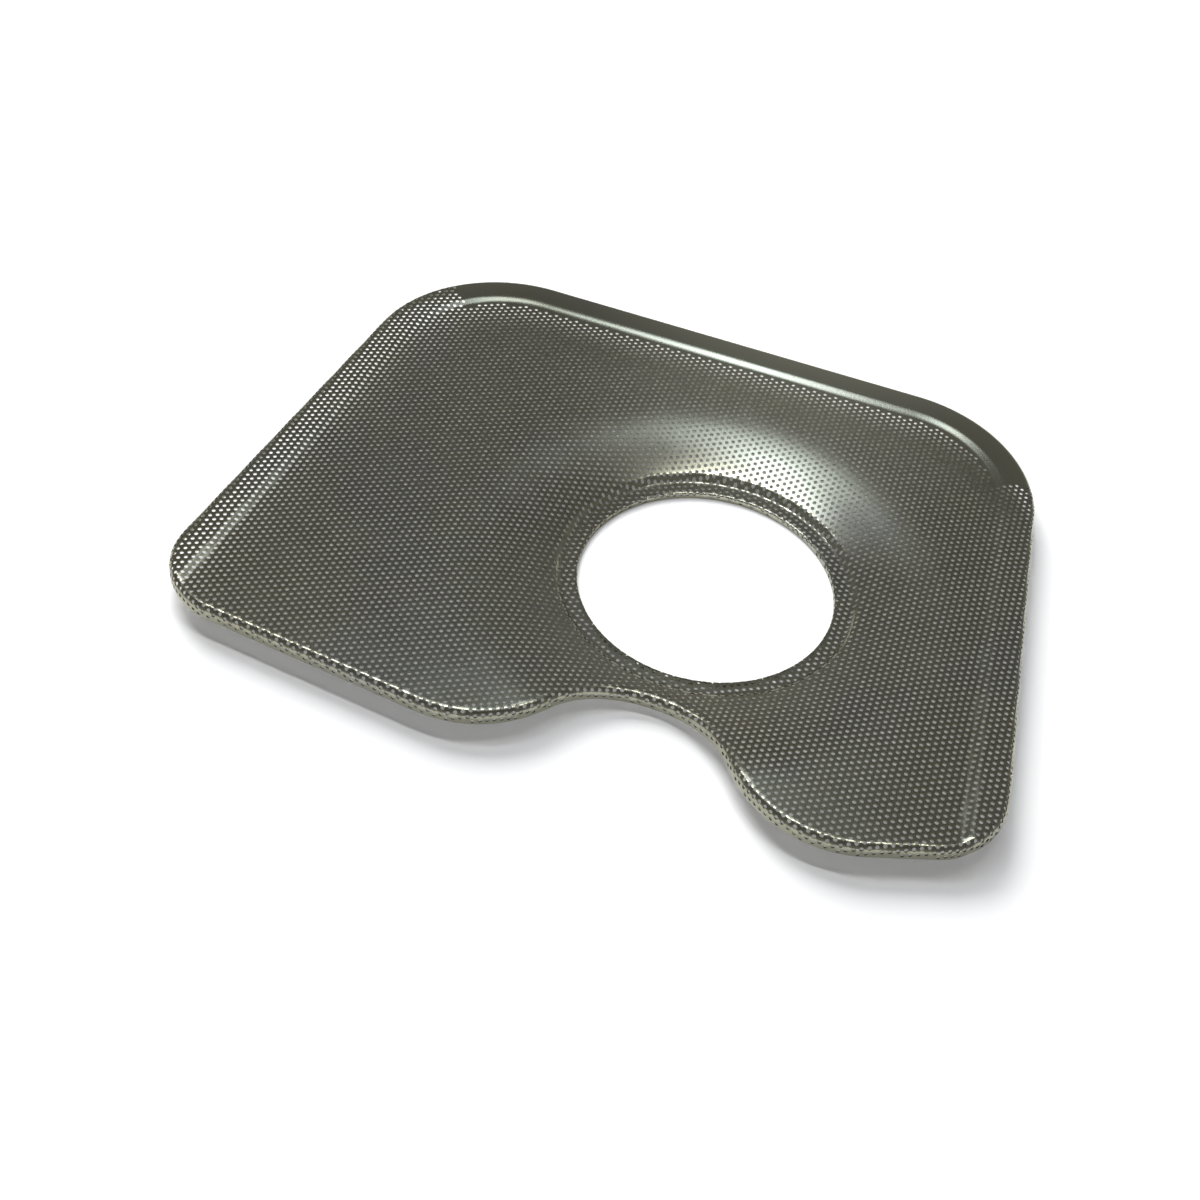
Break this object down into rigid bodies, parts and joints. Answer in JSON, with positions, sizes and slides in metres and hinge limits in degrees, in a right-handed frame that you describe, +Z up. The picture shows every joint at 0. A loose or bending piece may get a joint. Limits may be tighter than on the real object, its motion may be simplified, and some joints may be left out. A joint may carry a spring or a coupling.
{
  "type": "dishwasher filter plate",
  "caption": "Pressed stainless filter plate, trapezoid with round corners, raised border, short lip turned down at the edge, front notch and a funnel to a round filter hole with a seat ring and a short collar.",
  "frame": {"origin": "on the axis of the round filter hole, level with the foot of its collar", "axes": "+X to the right, +Y to the back edge away from the notch, +Z up along the filter hole's axis"},
  "size_m": [0.2904, 0.2235, 0.0129],
  "materials": {
    "steel": "satin perforated stainless sheet with a grey-olive tone"
  },
  "bodies": {
    "root": {"filter_plate": "steel"}
  },
  "joints": []
}
